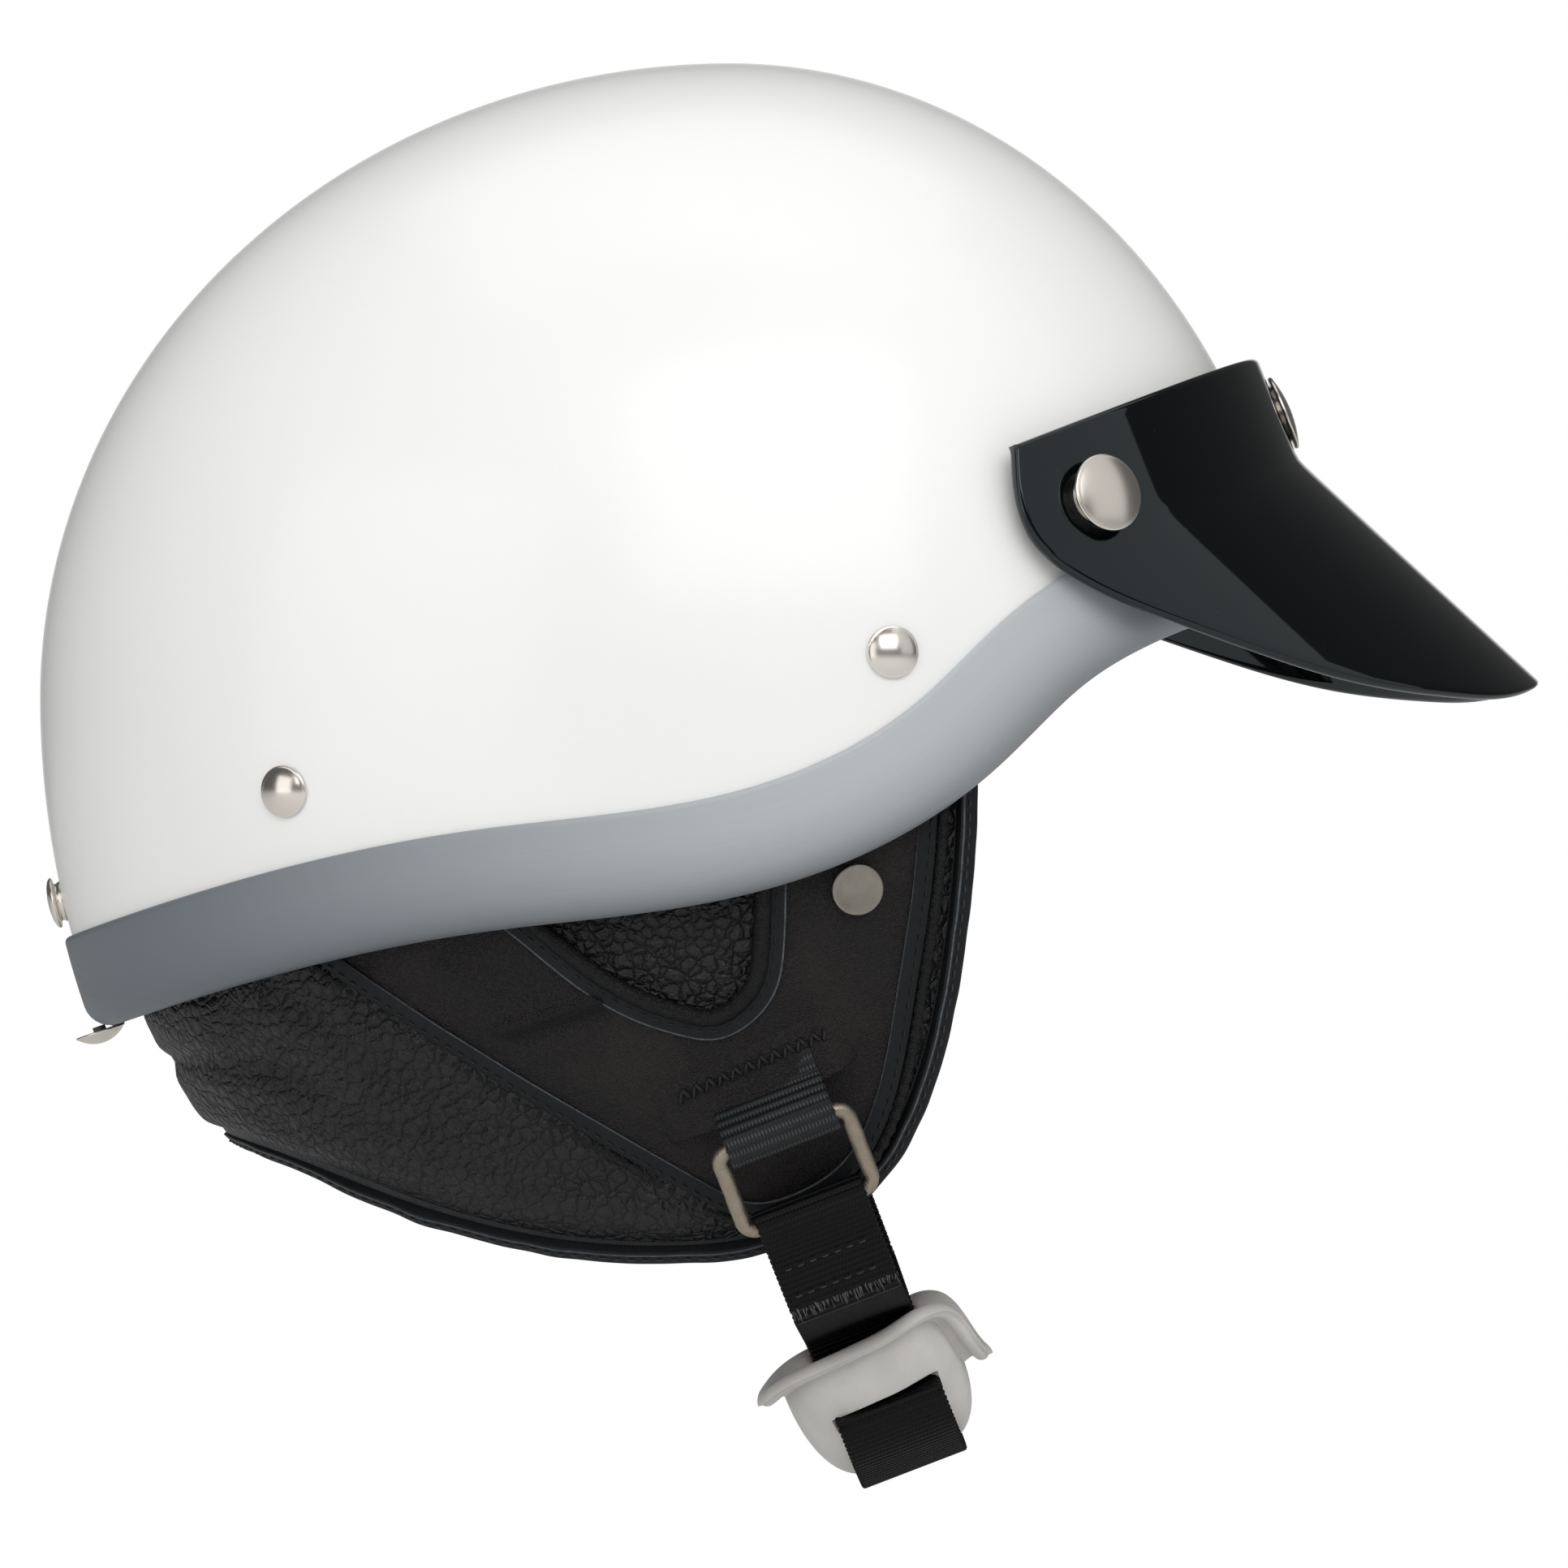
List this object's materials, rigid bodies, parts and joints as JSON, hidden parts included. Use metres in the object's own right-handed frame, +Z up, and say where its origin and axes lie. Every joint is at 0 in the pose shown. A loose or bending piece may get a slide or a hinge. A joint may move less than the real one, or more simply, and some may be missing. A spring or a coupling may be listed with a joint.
{
  "type": "half shell motorcycle helmet",
  "caption": "Half shell motorcycle helmet with a studded peak, padded leather ear and neck curtain, and a webbing chin strap with a chin cup.",
  "frame": {"origin": "middle of the wearer's head: under the crown, at the shell's widest level", "axes": "+X forward, +Y to the wearer's left, +Z up through the crown"},
  "size_m": [0.342, 0.2312, 0.3245],
  "materials": {
    "white_shell": "gloss white lacquer",
    "black_peak": "gloss black moulding",
    "grey_trim": "satin blue-grey rubber",
    "impact_foam": "expanded foam",
    "lining_cloth": "quilted black cloth",
    "grained_leather": "coarse grained black leather",
    "smooth_leather": "smooth brown-black leather",
    "black_webbing": "ribbed polyester webbing",
    "bright_nickel": "polished nickel",
    "satin_nickel": "satin nickel",
    "cast_nickel": "rough cast nickel",
    "cup_rubber": "off-white soft rubber"
  },
  "bodies": {
    "helmet": {"shell": "white_shell", "edge_trim": "grey_trim", "strap_rivets": "bright_nickel", "impact_liner": "impact_foam", "lining": "lining_cloth", "sweatband": "smooth_leather", "neck_curtain": "grained_leather", "curtain_binding": "grained_leather", "curtain_snaps": "satin_nickel", "rear_stud": "bright_nickel", "trim_rivet": "satin_nickel", "snap_studs": "satin_nickel", "right_hanger": "black_webbing", "right_side_panel": "smooth_leather", "right_panel_strip": "smooth_leather", "right_ear_piping": "smooth_leather", "right_ear_pad": "grained_leather", "right_anchor_loop": "black_webbing", "left_hanger": "black_webbing", "left_side_panel": "smooth_leather", "left_panel_strip": "smooth_leather", "left_ear_piping": "smooth_leather", "left_ear_pad": "grained_leather", "left_anchor_loop": "black_webbing"},
    "peak": {"peak": "black_peak", "snap_caps": "satin_nickel"},
    "right_ring": {"right_ring": "cast_nickel"},
    "left_ring": {"left_ring": "cast_nickel"},
    "chin_strap": {"chin_strap": "black_webbing", "chin_cup": "cup_rubber", "strap_snap": "satin_nickel"}
  },
  "joints": [
    {"name": "peak_pull_off", "type": "slide", "parent": "helmet", "child": "peak", "axis": [0.9278, 0, 0.373], "range_m": [0, 0.04]},
    {"name": "right_ring_swing", "type": "hinge", "parent": "helmet", "child": "right_ring", "pos_m": [0.0115, -0.0925, -0.0957], "axis": [0.9336, 0, 0.3584], "range_deg": [-8, 8]},
    {"name": "chin_strap_swing", "type": "hinge", "parent": "right_ring", "child": "chin_strap", "pos_m": [0.01817, -0.0825, -0.11306], "axis": [0.9336, 0, 0.3584], "range_deg": [-10, 10]},
    {"name": "left_ring_swing", "type": "hinge", "parent": "helmet", "child": "left_ring", "pos_m": [0.0115, 0.0925, -0.0957], "axis": [0.9336, 0, 0.3584], "range_deg": [-8, 8]}
  ],
  "couplings": [
    {"joint": "chin_strap_swing", "follows": "right_ring_swing", "ratio": -1.1212},
    {"joint": "left_ring_swing", "follows": "right_ring_swing", "ratio": 1}
  ]
}
